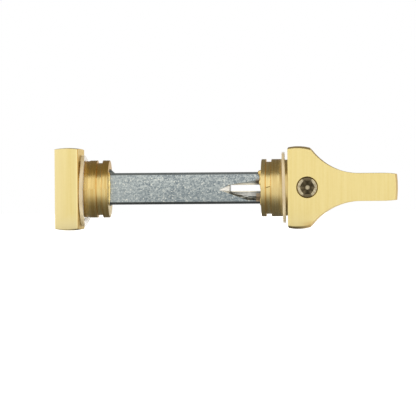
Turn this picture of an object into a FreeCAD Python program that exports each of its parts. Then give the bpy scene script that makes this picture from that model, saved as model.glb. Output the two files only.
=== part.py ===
import FreeCAD, Part
import math
import os

# A bathroom door's thumb turn and release, joined by a square spindle.
# X runs along the spindle towards the turn, Z is up, and the photographed flat side faces -Y.
# The origin is on the spindle's axis, midway between the heads, where the lock's follower sits.
# All sizes are in millimetres.

# Both heads
head_height = 20.9          # between the crests of the two crowned ends
head_depth = 16.0           # between the two brushed flat faces
edge_break = 0.15           # softened edge round each flat face

# Turn head, drawn from its back face
turn_length = 27.5          # back face to the crest of the tip
base_crest = 2.35           # where the base's ends stand highest, from the back face
base_crown_radius = 12.0    # crown of the base's ends along the axis
base_depth_radius = 58.0    # crown of the base's ends across the depth
tab_thickness = 7.0         # the tab that finger and thumb hold
sweep_radius = 15.5         # hollow sweep from base to tab
sweep_end = 18.0            # where the sweep runs out into the tab
tab_straight = 5.5          # parallel stretch of the tab
tab_edge_radius = 30.0      # the tab's last stretch draws in on this radius
tip_crown_radius = 28.0     # dome of the tip, seen on the flat face
tip_depth_radius = 80.0     # dome of the tip across the depth
socket_depth = 12.0         # square socket for the spindle

# Release head
plate_thickness = 5.95      # along the spindle
plate_crown_radius = 17.0   # crown of the plate's ends along the axis
plate_depth_radius = 200.0  # crown of the plate's ends across the depth
pocket_depth = 2.8          # square pocket for the spindle
coin_slot_width = 2.0
coin_slot_length = 13.0
coin_slot_depth = 2.0

# Necks, one turned bush in each head
neck_diameter = 14.5
turn_neck_length = 6.85     # head face to the end of the neck
release_neck_length = 7.2
relief_width = 2.1          # shallow relief beside the head, where the washer lies
relief_step = 0.16
groove_start = 4.3          # head face to the circlip groove
groove_width = 1.4
groove_diameter = 13.2
groove_wall_slope = 0.1     # each groove wall leans out by this much at the top
rim_break = 0.15
spigot_diameter = 12.4      # pressed into the head
spigot_length = 1.9
lip_wall = 0.4              # lip raised round the square hole at the end of the turn's neck
lip_height = 0.35

# Spindle
spindle_side = 8.0
spindle_corner = 0.6        # chamfer of the four long edges
head_spacing = 52.7         # between the two heads' inner faces
spindle_entry = 9.0         # how far the spindle reaches into the turn head
split_width = 1.6           # saw cut that lets the end spread
split_lead = 8.05           # how far the cut runs out past the end of the turn's neck
scoop_lead = 2.6            # how far the scoop's point runs out past the cut
scoop_point_drop = 0.5      # the point lies this far below the axis
scoop_point_size = 0.02
scoop_start_drop = 1.4      # lower edge of the scoop where the cut starts
scoop_start_depth = 1.4
scoop_start_rise = 0.64     # upper edge of its floor there
scoop_start_knee_drop = 1.1
scoop_start_knee_depth = 1.12
scoop_shoulder_lead = 3.5   # from here to the neck the scoop is nearly full
scoop_shoulder_rise = 1.55
scoop_shoulder_drop = 3.1
scoop_rise = 2.05           # upper edge at the turn's neck, above the axis
scoop_drop = 3.25           # lower edge at the turn's neck, below the axis
scoop_upper_depth = 0.5     # depth at the upper edge of the cut
scoop_lower_depth = 2.0     # depth at the lower edge of the cut
scoop_knee_drop = 2.2       # the lower flank steepens here
scoop_knee_depth = 1.6
upper_wing = 1.2            # swaged wing above the spindle, against the release neck
upper_wing_length = 1.3
lower_wing = 0.45
lower_wing_length = 0.5
wing_width = 2.6

# Set screw, M6, drawn at the pitch diameter of its thread
screw_diameter = 5.35
screw_offset = 4.9          # back face of the turn to the screw's axis
screw_recess = 0.4          # flat face to the top of the screw
screw_chamfer = 0.25
screw_tip_diameter = 1.2
key_size = 3.0              # hexagon across its flats
key_depth = 2.0
key_drill_depth = 0.45      # cone left by the drill under the hexagon

# Washers
washer_rim = 1.45           # bore to outer edge
washer_thickness = 0.85
turn_washer_gap = 0.85      # head face to washer, on the axis
release_washer_gap = 0.35
turn_washer_lean = 2.1      # degrees, near side towards the head
turn_washer_nod = -1.0      # degrees, top away from the head
release_washer_lean = -1.5
release_washer_nod = -0.3

# Clearances
slide_clearance = 0.05      # each side of the spindle in the turn
thread_clearance = 0.05     # round the set screw
tip_clearance = 0.12        # between the screw's cone and the cut
washer_clearance = 0.4      # round the neck, inside each loose washer
overcut = 1.0               # how far a cutting tool runs past the surface it opens

turn_face = head_spacing / 2
release_face = -head_spacing / 2
half_depth = head_depth / 2
half_height = head_height / 2


def vector(x, y, z):
    return FreeCAD.Vector(x, y, z)


def box(x_low, x_high, y_low, y_high, z_low, z_high):
    size = (x_high - x_low, y_high - y_low, z_high - z_low)
    return Part.makeBox(*size, vector(x_low, y_low, z_low))


def square_bar(x_low, x_high, side):
    half = side / 2
    return box(x_low, x_high, -half, half, -half, half)


def round_bar(x_low, x_high, diameter):
    return Part.makeCylinder(diameter / 2, x_high - x_low, vector(x_low, 0, 0), vector(1, 0, 0))


def arc(start, middle, end):
    return Part.Arc(start, middle, end).toShape()


def line(start, end):
    return Part.LineSegment(start, end).toShape()


def circle_drop(radius, distance):
    # how far a circle falls away from its crest at a distance along the tangent
    return radius - math.sqrt(radius ** 2 - distance ** 2)


def crowned_barrel(x_low, arc_end, x_high, crest_x, crown_radius, depth_radius):
    # everything under the crowned top end of a head: an arc along X, turned about an axis far below
    axis_z = half_height - depth_radius

    def crown(x):
        return vector(x, 0, half_height - circle_drop(crown_radius, x - crest_x))

    start = crown(x_low)
    end = crown(arc_end)
    far = vector(x_high, 0, end.z)
    far_foot = vector(x_high, 0, axis_z)
    near_foot = vector(x_low, 0, axis_z)
    edges = [arc(start, crown(crest_x), end)]
    if x_high > arc_end:
        edges.append(line(end, far))
    edges += [line(far, far_foot), line(far_foot, near_foot), line(near_foot, start)]
    return Part.Face(Part.Wire(edges)).revolve(near_foot, vector(1, 0, 0), 360)


def crown_ends(solid, barrel):
    # the barrel trims the upper end, and its mirror image the lower one
    lower_barrel = barrel.mirror(vector(0, 0, 0), vector(0, 0, 1))
    return solid.common(barrel).common(lower_barrel)


def dome_tip(solid):
    # the tip is a shallow dome: an arc over the tab's thickness, turned about an axis behind it
    reach = half_height + overcut
    drop = circle_drop(tip_crown_radius, reach)
    axis_x = turn_length - tip_depth_radius
    top = vector(turn_length - drop, 0, reach)
    bottom = vector(turn_length - drop, 0, -reach)
    top_foot = vector(axis_x, 0, reach)
    bottom_foot = vector(axis_x, 0, -reach)
    crest = vector(turn_length, 0, 0)
    edges = [arc(bottom, crest, top), line(top, top_foot)]
    edges += [line(top_foot, bottom_foot), line(bottom_foot, bottom)]
    dome = Part.Face(Part.Wire(edges)).revolve(bottom_foot, vector(0, 0, 1), 360)
    return solid.common(dome)


def soften_flat_edges(solid):
    # the outer edges that border the two flat faces get a small round
    chosen = []
    for edge in solid.Edges:
        bounds = edge.BoundBox
        on_flat = abs(abs(bounds.YMin) - half_depth) < 1e-6 and bounds.YLength < 1e-6
        if on_flat:
            chosen.append(edge)
    return solid.makeFillet(edge_break, chosen)


def turn_outline():
    # half the outline is built above the axis and mirrored: base, hollow sweep, tab
    top = half_height + overcut
    tab_half = tab_thickness / 2
    centre_z = tab_half + sweep_radius
    base_x = sweep_end - math.sqrt(sweep_radius ** 2 - (centre_z - top) ** 2)
    straight_end = sweep_end + tab_straight
    last_x = turn_length + overcut
    last_z = tab_half - circle_drop(tab_edge_radius, last_x - straight_end)
    middle_angle = math.atan2(centre_z - top, sweep_end - base_x) / 2 + math.pi / 4
    sweep_middle_x = sweep_end - sweep_radius * math.cos(middle_angle)
    sweep_middle_z = centre_z - sweep_radius * math.sin(middle_angle)
    taper_x = (straight_end + last_x) / 2
    taper_z = tab_half - circle_drop(tab_edge_radius, taper_x - straight_end)
    edges = [line(vector(0, 0, -top), vector(0, 0, top))]
    for side in (1, -1):
        corner = vector(base_x, 0, side * top)
        sweep_middle = vector(sweep_middle_x, 0, side * sweep_middle_z)
        sweep_foot = vector(sweep_end, 0, side * tab_half)
        straight_foot = vector(straight_end, 0, side * tab_half)
        taper_middle = vector(taper_x, 0, side * taper_z)
        edges.append(line(vector(0, 0, side * top), corner))
        edges.append(arc(corner, sweep_middle, sweep_foot))
        edges.append(line(sweep_foot, straight_foot))
        edges.append(arc(straight_foot, taper_middle, vector(last_x, 0, side * last_z)))
    edges.append(line(vector(last_x, 0, last_z), vector(last_x, 0, -last_z)))
    return Part.Face(Part.Wire(Part.__sortEdges__(edges)))


def make_turn_head():
    flat = turn_outline()
    flat.translate(vector(0, -half_depth, 0))
    block = flat.extrude(vector(0, head_depth, 0))
    crown_end = base_crest + base_crown_radius / 2
    barrel = crowned_barrel(-overcut, crown_end, turn_length + 2 * overcut, base_crest,
                            base_crown_radius, base_depth_radius)
    block = soften_flat_edges(dome_tip(crown_ends(block, barrel)))
    spigot_seat = round_bar(-overcut, spigot_length, spigot_diameter)
    socket = square_bar(-overcut, socket_depth, spindle_side + 2 * slide_clearance)
    hole_diameter = screw_diameter + 2 * thread_clearance
    mouth = vector(screw_offset, -half_depth - overcut, 0)
    screw_hole = Part.makeCylinder(hole_diameter / 2, half_depth + overcut, mouth, vector(0, 1, 0))
    head = block.cut(spigot_seat).cut(socket).cut(screw_hole)
    head.translate(vector(turn_face, 0, 0))
    return head


def make_release_head():
    outer_face = release_face - plate_thickness
    block = box(outer_face, release_face, -half_depth, half_depth,
                -half_height - overcut, half_height + overcut)
    crest = release_face - plate_thickness / 2
    barrel = crowned_barrel(outer_face - overcut, release_face + overcut, release_face + overcut,
                            crest, plate_crown_radius, plate_depth_radius)
    block = soften_flat_edges(crown_ends(block, barrel))
    spigot_seat = round_bar(release_face - spigot_length, release_face + overcut, spigot_diameter)
    pocket = square_bar(release_face - pocket_depth, release_face + overcut, spindle_side)
    return block.cut(spigot_seat).cut(pocket).cut(coin_slot(outer_face))


def coin_slot(outer_face):
    # an upright slot with round ends, milled into the outer face
    straight = (coin_slot_length - coin_slot_width) / 2
    half = coin_slot_width / 2
    depth = coin_slot_depth + overcut
    start = outer_face - overcut
    slot = box(start, start + depth, -half, half, -straight, straight)
    for end in (-straight, straight):
        mill = Part.makeCylinder(half, depth, vector(start, 0, end), vector(1, 0, 0))
        slot = slot.fuse(mill)
    return slot.removeSplitter()


def neck_profile(length):
    # half section of a neck that points along +X from a head face at x = 0
    radius = neck_diameter / 2
    relief = radius - relief_step
    floor = groove_diameter / 2
    groove_end = groove_start + groove_width
    points = [(-spigot_length, 0), (-spigot_length, spigot_diameter / 2), (0, spigot_diameter / 2)]
    points += [(0, relief), (relief_width, relief), (relief_width + relief_step, radius)]
    points += [(groove_start, radius), (groove_start + groove_wall_slope, floor)]
    points += [(groove_end - groove_wall_slope, floor), (groove_end, radius)]
    points += [(length - rim_break, radius), (length, radius - rim_break), (length, 0)]
    return [vector(x, 0, z) for x, z in points]


def make_neck(length):
    points = neck_profile(length)
    section = Part.Face(Part.makePolygon(points + points[:1]))
    return section.revolve(vector(0, 0, 0), vector(1, 0, 0), 360)


def make_turn_neck():
    bore_side = spindle_side + 2 * slide_clearance
    lip_end = turn_neck_length + lip_height
    neck = make_neck(turn_neck_length)
    neck = neck.fuse(square_bar(turn_neck_length - rim_break, lip_end, bore_side + 2 * lip_wall))
    neck = neck.cut(square_bar(-spigot_length - overcut, lip_end + overcut, bore_side))
    neck.rotate(vector(0, 0, 0), vector(0, 0, 1), 180)
    neck.translate(vector(turn_face, 0, 0))
    return neck


def make_release_neck():
    neck = make_neck(release_neck_length)
    neck = neck.cut(square_bar(-spigot_length - overcut, release_neck_length + overcut, spindle_side))
    neck.translate(vector(release_face, 0, 0))
    return neck


def scoop_section(x, rise, drop, upper, lower, knee):
    # one outline of the scoop; upper, lower and knee are (height, depth) pairs of its bottom
    face = -spindle_side / 2
    outside = face - overcut
    points = [vector(x, outside, rise), vector(x, face, rise)]
    points += [vector(x, face + depth, height) for height, depth in (upper, lower, knee)]
    points += [vector(x, face, -drop), vector(x, outside, -drop)]
    return Part.makePolygon(points + points[:1])


def make_scoop():
    # a notch on the photographed side, which opens from a point into the split
    mouth = turn_face - turn_neck_length
    start = mouth - split_lead
    point = start - scoop_lead
    cut = split_width / 2
    dot = scoop_point_size
    low = -scoop_point_drop
    tip = scoop_section(point, low + 2 * dot, -low + 2 * dot,
                        (low + dot, dot), (low, dot), (low - dot, dot))
    root = scoop_section(start, cut, scoop_start_drop,
                         (scoop_start_rise, scoop_start_depth), (-cut, scoop_start_depth),
                         (-scoop_start_knee_drop, scoop_start_knee_depth))
    bottom = ((cut, scoop_upper_depth), (-cut, scoop_lower_depth), (-scoop_knee_drop, scoop_knee_depth))
    shoulder = scoop_section(mouth - scoop_shoulder_lead, scoop_shoulder_rise, scoop_shoulder_drop, *bottom)
    full = scoop_section(mouth, scoop_rise, scoop_drop, *bottom)
    tapered = Part.makeLoft([tip, root, shoulder, full], True, True)
    length = turn_neck_length + spindle_entry + overcut
    return tapered.fuse(Part.Face(full).extrude(vector(length, 0, 0)))


def wing(length, height, side):
    # a swaged ramp of metal beside the release neck, above or below the spindle
    root = release_face + release_neck_length
    half = spindle_side / 2
    foot = half - spindle_corner
    points = [vector(root, 0, side * foot), vector(root, 0, side * (half + height))]
    points += [vector(root + length, 0, side * half), vector(root + length, 0, side * foot)]
    ramp = Part.Face(Part.makePolygon(points + points[:1]))
    ramp.translate(vector(0, -wing_width / 2, 0))
    return ramp.extrude(vector(0, wing_width, 0))


def make_spindle():
    far_end = turn_face + spindle_entry
    bar = square_bar(release_face - pocket_depth, far_end, spindle_side)
    length = spindle_entry + pocket_depth + head_spacing
    long_edges = [edge for edge in bar.Edges if abs(edge.Length - length) < 1e-6]
    bar = bar.makeChamfer(spindle_corner, long_edges)
    half = spindle_side / 2 + overcut
    split_start = turn_face - turn_neck_length - split_lead
    split = box(split_start, far_end + overcut, -half, half, -split_width / 2, split_width / 2)
    bar = bar.cut(split).cut(make_scoop())
    bar = bar.fuse(wing(upper_wing_length, upper_wing, 1))
    bar = bar.fuse(wing(lower_wing_length, lower_wing, -1))
    return bar.removeSplitter()


def make_set_screw():
    # turned about its own axis along +Y: flat top, chamfer, thread, cone point
    radius = screw_diameter / 2
    tip = screw_tip_diameter / 2
    top = -half_depth + screw_recess
    surface = -spindle_side / 2
    # the cone's point stands in the split, just clear of the upper edge of the cut
    cone_end = surface + scoop_upper_depth + split_width / 2 - tip_clearance - tip
    cone_start = cone_end - (radius - tip)
    points = [vector(0, top, 0), vector(radius - screw_chamfer, top, 0)]
    points += [vector(radius, top + screw_chamfer, 0), vector(radius, cone_start, 0)]
    points += [vector(tip, cone_end, 0), vector(0, cone_end, 0)]
    section = Part.Face(Part.makePolygon(points + points[:1]))
    body = section.revolve(vector(0, 0, 0), vector(0, 1, 0), 360)
    corner = key_size / math.sqrt(3)
    angles = [math.radians(60 * step) for step in range(7)]
    start = top - overcut
    hexagon = [vector(corner * math.cos(a), start, corner * math.sin(a)) for a in angles]
    depth = key_depth + overcut
    socket = Part.Face(Part.makePolygon(hexagon)).extrude(vector(0, depth, 0))
    floor = vector(0, top + key_depth, 0)
    drill = Part.makeCone(key_size / 2, 0, key_drill_depth, floor, vector(0, 1, 0))
    screw = body.cut(socket).cut(drill)
    screw.translate(vector(turn_face + screw_offset, 0, 0))
    return screw


def make_washer(centre_x, lean, nod):
    start = -washer_thickness / 2
    end = washer_thickness / 2
    bore = neck_diameter + 2 * washer_clearance
    ring = round_bar(start, end, bore + 2 * washer_rim)
    ring = ring.cut(round_bar(start - overcut, end + overcut, bore))
    ring.rotate(vector(0, 0, 0), vector(0, 0, 1), lean)
    ring.rotate(vector(0, 0, 0), vector(0, 1, 0), nod)
    ring.translate(vector(centre_x, 0, 0))
    return ring


def make_turn_washer():
    centre = turn_face - turn_washer_gap - washer_thickness / 2
    return make_washer(centre, turn_washer_lean, turn_washer_nod)


def make_release_washer():
    centre = release_face + release_washer_gap + washer_thickness / 2
    return make_washer(centre, release_washer_lean, release_washer_nod)


pieces = {
    "turn_head": make_turn_head,
    "turn_neck": make_turn_neck,
    "set_screw": make_set_screw,
    "turn_washer": make_turn_washer,
    "spindle": make_spindle,
    "release_head": make_release_head,
    "release_neck": make_release_neck,
    "release_washer": make_release_washer,
}

os.makedirs("parts", exist_ok=True)
for name, make in pieces.items():
    shape = make()
    solid = shape.Solids[0]
    print(name, "solids", len(shape.Solids), "valid", shape.isValid(), "volume", round(shape.Volume, 2))
    solid.exportStep("parts/" + name + ".step")
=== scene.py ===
import bpy
import math
import numpy as np
from mathutils import Matrix, Vector


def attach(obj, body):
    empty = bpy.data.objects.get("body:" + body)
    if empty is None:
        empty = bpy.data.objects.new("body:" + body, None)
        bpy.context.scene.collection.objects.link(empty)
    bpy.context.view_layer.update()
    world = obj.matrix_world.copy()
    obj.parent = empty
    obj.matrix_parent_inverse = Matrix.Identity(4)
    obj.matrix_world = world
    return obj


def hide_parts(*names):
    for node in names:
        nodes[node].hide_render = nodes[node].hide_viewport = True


# A bathroom thumb turn, its square spindle and its release, laid out as they sit through a door.
# The frame's X runs along the spindle towards the turn, Z is up, and the camera looks along +Y.

mm = 0.001
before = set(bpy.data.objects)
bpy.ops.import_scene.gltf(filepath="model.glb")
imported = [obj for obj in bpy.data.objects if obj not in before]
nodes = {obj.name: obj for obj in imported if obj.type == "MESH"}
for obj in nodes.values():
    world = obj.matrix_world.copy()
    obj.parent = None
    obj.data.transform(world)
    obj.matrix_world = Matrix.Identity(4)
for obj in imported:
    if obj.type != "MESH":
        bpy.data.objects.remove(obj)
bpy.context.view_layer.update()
scene = bpy.context.scene
print("frame loaded:", ", ".join(sorted(nodes)))


# small helpers for shader nodes

def srgb(red, green, blue):
    # screen colour from 0 to 255, turned into the linear colour that a shader takes
    shares = np.array([red, green, blue]) / 255
    linear = np.where(shares <= 0.04045, shares / 12.92, ((shares + 0.055) / 1.055) ** 2.4)
    return (*linear.tolist(), 1.0)


def put(tree, kind, settings=None, **inputs):
    # adds one node; an input given as a socket is linked, anything else is set as its value
    node = tree.nodes.new("ShaderNode" + kind)
    for name, value in (settings or {}).items():
        setattr(node, name, value)
    for name, value in inputs.items():
        socket = node.inputs[int(name[1:])] if name[0] == "i" and name[1:].isdigit() else node.inputs[name]
        if isinstance(value, bpy.types.NodeSocket):
            tree.links.new(value, socket)
        else:
            socket.default_value = value
    return node


def maths(tree, operation, *terms):
    inputs = {f"i{place}": term for place, term in enumerate(terms)}
    return put(tree, "Math", {"operation": operation}, **inputs).outputs[0]


def times(tree, product, *factors):
    for factor in factors:
        product = maths(tree, "MULTIPLY", product, factor)
    return product


def away(tree, value, place=0.0):
    # how far value is from place
    return maths(tree, "ABSOLUTE", maths(tree, "SUBTRACT", value, place))


def hypot(tree, a, b):
    # the root of a squared plus b squared
    return maths(tree, "SQRT", maths(tree, "MULTIPLY_ADD", a, a, times(tree, b, b)))


def weigh(tree, a, b, share):
    # a and b added up, with this share of b
    return maths(tree, "MULTIPLY_ADD", a, 1.0 - share, times(tree, b, share))


def ramp(tree, value, low, high, lowOut=0.0, highOut=1.0):
    # smooth step from lowOut to highOut while value goes from low to high
    limits = {"From Min": low, "From Max": high, "To Min": lowOut, "To Max": highOut}
    node = put(tree, "MapRange", {"interpolation_type": "SMOOTHSTEP"}, Value=value, **limits)
    return node.outputs["Result"]


def near(tree, value, inner, outer, most=1.0):
    # most as long as value is below inner, falling to 0 at outer
    return ramp(tree, value, inner, outer, most, 0.0)


def bySide(tree, x, release, turn):
    # one value on the release's side of the door and another on the turn's
    return ramp(tree, x, -5.0, 5.0, release, turn)


def mixColour(tree, share, a, b):
    return put(tree, "Mix", {"data_type": "RGBA"}, i0=share, i6=a, i7=b).outputs[2]


def combine(tree, x, y, z):
    return put(tree, "CombineXYZ", None, X=x, Y=y, Z=z).outputs[0]


def placeInMm(tree):
    # the piece's own place, in millimetres, as a vector and as its three parts
    place = put(tree, "TexCoord").outputs["Object"]
    scaled = put(tree, "VectorMath", {"operation": "SCALE"}, Vector=place, Scale=1000.0).outputs[0]
    parts = put(tree, "SeparateXYZ", None, Vector=scaled)
    return scaled, parts.outputs[0], parts.outputs[1], parts.outputs[2]


def newGroup(name, inputs, outputs):
    # an empty group with float inputs at their default values; a None default makes a vector
    tree = bpy.data.node_groups.new(name, "ShaderNodeTree")
    for label, default in inputs.items():
        kind = "NodeSocketVector" if default is None else "NodeSocketFloat"
        socket = tree.interface.new_socket(name=label, in_out="INPUT", socket_type=kind)
        if default is not None:
            socket.default_value = default
    for label in outputs:
        tree.interface.new_socket(name=label, in_out="OUTPUT", socket_type="NodeSocketFloat")
    source = tree.nodes.new("NodeGroupInput").outputs
    sink = tree.nodes.new("NodeGroupOutput").inputs
    return tree, source, sink


def useGroup(tree, group, **inputs):
    node = tree.nodes.new("ShaderNodeGroup")
    node.node_tree = group
    for name, value in inputs.items():
        socket = node.inputs[name]
        if isinstance(value, bpy.types.NodeSocket):
            tree.links.new(value, socket)
        else:
            socket.default_value = value
    return node.outputs


# effects that several materials share

noiseLook = {
    "slowAcross": 0.17,          # the slow layer of the lines is this much coarser across them
    "slowAlong": 0.4,
    "fineRoughness": 0.65,
    "slowRoughness": 0.55,
    "wearScale": 1.7,
    "wearBroken": (0.3, 0.62, 0.45, 1.0),
    "warpScale": 2.4,
    "warpReach": 0.5,
    "grainRoughness": 0.6,
    "cellShare": 0.45,
    "speck": (0.46, 0.58),
    "cloudRoughness": 0.5,
    "cloud": (0.35, 0.65),
}


def makeFineLines():
    # scratches along one direction: noise squeezed across the lines and stretched along them,
    # a fine layer for the bump and a slow one for the shade
    look = noiseLook
    tree, source, sink = newGroup(
        "fineLines", {"Across": 0.0, "Along": 0.0, "Depth": 0.0, "Density": 6.0, "Length": 8.0},
        ["Height", "Shade"])
    across = times(tree, source["Across"], source["Density"])
    along = maths(tree, "DIVIDE", source["Along"], source["Length"])
    fine = put(tree, "TexNoise", None, Vector=combine(tree, across, along, source["Depth"]),
               Scale=1.0, Detail=3.0, Roughness=look["fineRoughness"])
    slowAcross = times(tree, across, look["slowAcross"])
    slowAlong = times(tree, along, look["slowAlong"])
    slow = put(tree, "TexNoise", None, Vector=combine(tree, slowAcross, slowAlong, source["Depth"]),
               Scale=1.0, Detail=2.0, Roughness=look["slowRoughness"])
    tree.links.new(fine.outputs["Fac"], sink["Height"])
    tree.links.new(slow.outputs["Fac"], sink["Shade"])
    return tree


def makeEdgeWearAndHighlight():
    # 1 on an edge, fading out over Width, broken up by noise along the edge
    look = noiseLook
    tree, source, sink = newGroup("edgeWearAndHighlight", {"Place": None, "Distance": 1.0, "Width": 0.2}, ["Mask"])
    onEdge = near(tree, maths(tree, "DIVIDE", source["Distance"], source["Width"]), 0.0, 1.0)
    noise = put(tree, "TexNoise", None, Vector=source["Place"], Scale=look["wearScale"], Detail=3.0)
    broken = ramp(tree, noise.outputs["Fac"], *look["wearBroken"])
    tree.links.new(times(tree, onEdge, broken), sink["Mask"])
    return tree


def makeGrain():
    # irregular small grains: cells of Size with a soft grey each, and sparse bright specks
    look = noiseLook
    tree, source, sink = newGroup("grain", {"Place": None, "Size": 0.4}, ["Shade", "Specks", "Height"])
    scale = maths(tree, "DIVIDE", 1.0, source["Size"])
    warp = put(tree, "TexNoise", None, Vector=source["Place"], Scale=look["warpScale"], Detail=2.0)
    shift = put(tree, "VectorMath", {"operation": "SCALE"}, Vector=warp.outputs["Color"],
                Scale=look["warpReach"])
    moved = put(tree, "VectorMath", {"operation": "ADD"}, i0=source["Place"], i1=shift.outputs[0])
    noise = put(tree, "TexNoise", None, Vector=moved.outputs[0], Scale=scale, Detail=3.0,
                Roughness=look["grainRoughness"])
    cells = put(tree, "TexVoronoi", {"feature": "F1"}, Vector=moved.outputs[0], Scale=scale)
    grey = put(tree, "SeparateColor", None, Color=cells.outputs["Color"]).outputs[0]
    specks = ramp(tree, times(tree, grey, noise.outputs["Fac"]), *look["speck"])
    tree.links.new(weigh(tree, noise.outputs["Fac"], grey, look["cellShare"]), sink["Shade"])
    tree.links.new(specks, sink["Specks"])
    tree.links.new(noise.outputs["Fac"], sink["Height"])
    return tree


def makeHandling():
    # soft clouds of a given size, from 0 to 1: where a surface was touched or dulled
    look = noiseLook
    tree, source, sink = newGroup("handling", {"Place": None, "Size": 6.0}, ["Mask"])
    scale = maths(tree, "DIVIDE", 1.0, source["Size"])
    noise = put(tree, "TexNoise", None, Vector=source["Place"], Scale=scale, Detail=2.0,
                Roughness=look["cloudRoughness"])
    tree.links.new(ramp(tree, noise.outputs["Fac"], *look["cloud"]), sink["Mask"])
    return tree


fineLines = makeFineLines()
edgeWearAndHighlight = makeEdgeWearAndHighlight()
grain = makeGrain()
handling = makeHandling()


def newMaterial(name):
    material = bpy.data.materials.new(name)
    material.use_nodes = True
    tree = material.node_tree
    shader = tree.nodes["Principled BSDF"]
    return material, tree, shader


def connect(tree, socket, target):
    tree.links.new(socket, target)


def bump(tree, height, strength, depthMm):
    return put(tree, "Bump", None, Height=height, Strength=strength, Distance=depthMm * mm).outputs[0]


# brushed brass of the two heads

brushedBrass = {
    "light": srgb(241, 223, 156),
    "dark": srgb(232, 211, 138),
    # the softened edges are brighter: wear, with a painted highlight
    "wearAndHighlight": srgb(248, 228, 164),
    # painted light: paler at the release's outer side and at the heads' feet
    "pale": srgb(248, 232, 176),
    # painted light and painted highlight on the release head
    "lit": srgb(255, 238, 176),
    # painted shade on a rounded edge and at the turn's lower end
    "corner": srgb(206, 164, 90),
    "glancing": (0.87, 0.72, 0.5, 1.0),
    "tone": (0.3, 0.7),              # the noise that runs from dark to light
    "fineShare": 0.4,
    "linesPerMm": 7.0,
    "lineLengthMm": 12.0,
    "lineDepthMm": 0.004,
    "lineBump": 0.6,
    "changePerMm": 0.5,              # how fast the lines differ from front to back
    "endFacing": (0.75, 0.85),
    "edgeMiddleMm": 7.9175,          # the softened edges of the front and back faces
    "edgeWidthMm": 0.12,
    "smudgeMm": 7.0,
    "roughness": 0.27,
    "lineRoughness": 0.1,
    "smudgeRoughness": 0.05,
    "releaseFaceMm": -26.35,
    "outerMm": (2.2, 6.0),           # painted light: the release head is palest at its outer side
    "outerPale": 0.6,
    "footMm": (-5.5, -9.5),          # painted light: both heads are a little lighter at their feet
    "footPale": (0.7, 0.25),
    "lowMm": (-8.0, -9.4),           # painted shade: the turn's lower end is golden towards its sweep
    "lowAlongMm": (29.0, 32.5),
    "lowShare": 0.5,
    "gapMm": (0.05, 0.1),            # painted light: the release's face stays bright beside the washer, where its shade falls
    "frontMm": (-7.6, -7.9),
    "goldenMm": (-0.05, 0.0),        # its front edge is a golden line of painted shade beside a narrow painted highlight
    "brightMm": (0.16, 0.26),
    "brightEndMm": (0.5, 0.7, 0.7),
}


def makeBrushedBrass():
    look = brushedBrass
    material, tree, shader = newMaterial("brushedBrass")
    place, x, y, z = placeInMm(tree)
    normal = put(tree, "SeparateXYZ", None, Vector=put(tree, "NewGeometry").outputs["Normal"])
    endFace = ramp(tree, away(tree, normal.outputs[0]), *look["endFacing"])
    # the lines run up the head, side by side along X, or along Y on the faces that look along X
    across = maths(tree, "MULTIPLY_ADD", maths(tree, "SUBTRACT", y, x), endFace, x)
    lines = useGroup(tree, fineLines, Across=across, Along=z, Depth=times(tree, y, look["changePerMm"]),
                     Density=look["linesPerMm"], Length=look["lineLengthMm"])
    toEdge = away(tree, away(tree, y), look["edgeMiddleMm"])
    # the softened edges of the front and back faces: wear, with a painted highlight where they round over
    wearAndHighlight = useGroup(tree, edgeWearAndHighlight, Place=place, Distance=toEdge, Width=look["edgeWidthMm"])["Mask"]
    smudge = useGroup(tree, handling, Place=place, Size=look["smudgeMm"])["Mask"]
    tone = weigh(tree, lines["Shade"], lines["Height"], look["fineShare"])
    colour = mixColour(tree, ramp(tree, tone, *look["tone"]), look["dark"], look["light"])
    colour = mixColour(tree, wearAndHighlight, colour, look["wearAndHighlight"])
    # painted light: the release head is palest at its outer side, and both heads are a little lighter at
    # their feet
    inward = maths(tree, "SUBTRACT", look["releaseFaceMm"], x)
    outer = times(tree, ramp(tree, inward, *look["outerMm"]), bySide(tree, x, look["outerPale"], 0.0))
    foot = times(tree, ramp(tree, z, *look["footMm"]), bySide(tree, x, *look["footPale"]))
    colour = mixColour(tree, maths(tree, "MAXIMUM", outer, foot), colour, look["pale"])
    # painted shade: the turn's lower end turns golden towards its sweep
    low = times(tree, ramp(tree, z, *look["lowMm"]), ramp(tree, x, *look["lowAlongMm"]), look["lowShare"])
    colour = mixColour(tree, low, colour, look["corner"])
    # painted light on the release's inner face, where the washer's shade falls
    gap = times(tree, endFace, near(tree, away(tree, inward), *look["gapMm"]))
    colour = mixColour(tree, gap, colour, look["lit"])
    # painted highlight along the release's front edge, with a golden line of painted shade at the edge itself
    front = times(tree, maths(tree, "SUBTRACT", 1.0, endFace), ramp(tree, y, *look["frontMm"]))
    bright = times(tree, ramp(tree, inward, *look["brightMm"]), near(tree, inward, *look["brightEndMm"]))
    colour = mixColour(tree, times(tree, bright, front), colour, look["lit"])
    golden = times(tree, ramp(tree, inward, *look["goldenMm"]), near(tree, inward, *look["brightMm"]))
    colour = mixColour(tree, times(tree, golden, front), colour, look["corner"])
    connect(tree, colour, shader.inputs["Base Color"])
    shader.inputs["Metallic"].default_value = 1.0
    shader.inputs["Specular Tint"].default_value = look["glancing"]
    rough = maths(tree, "MULTIPLY_ADD", lines["Height"], look["lineRoughness"], look["roughness"])
    rough = maths(tree, "MULTIPLY_ADD", smudge, look["smudgeRoughness"], rough)
    connect(tree, rough, shader.inputs["Roughness"])
    bumped = bump(tree, lines["Height"], look["lineBump"], look["lineDepthMm"])
    connect(tree, bumped, shader.inputs["Normal"])
    return material


# turned brass of the two necks

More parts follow.
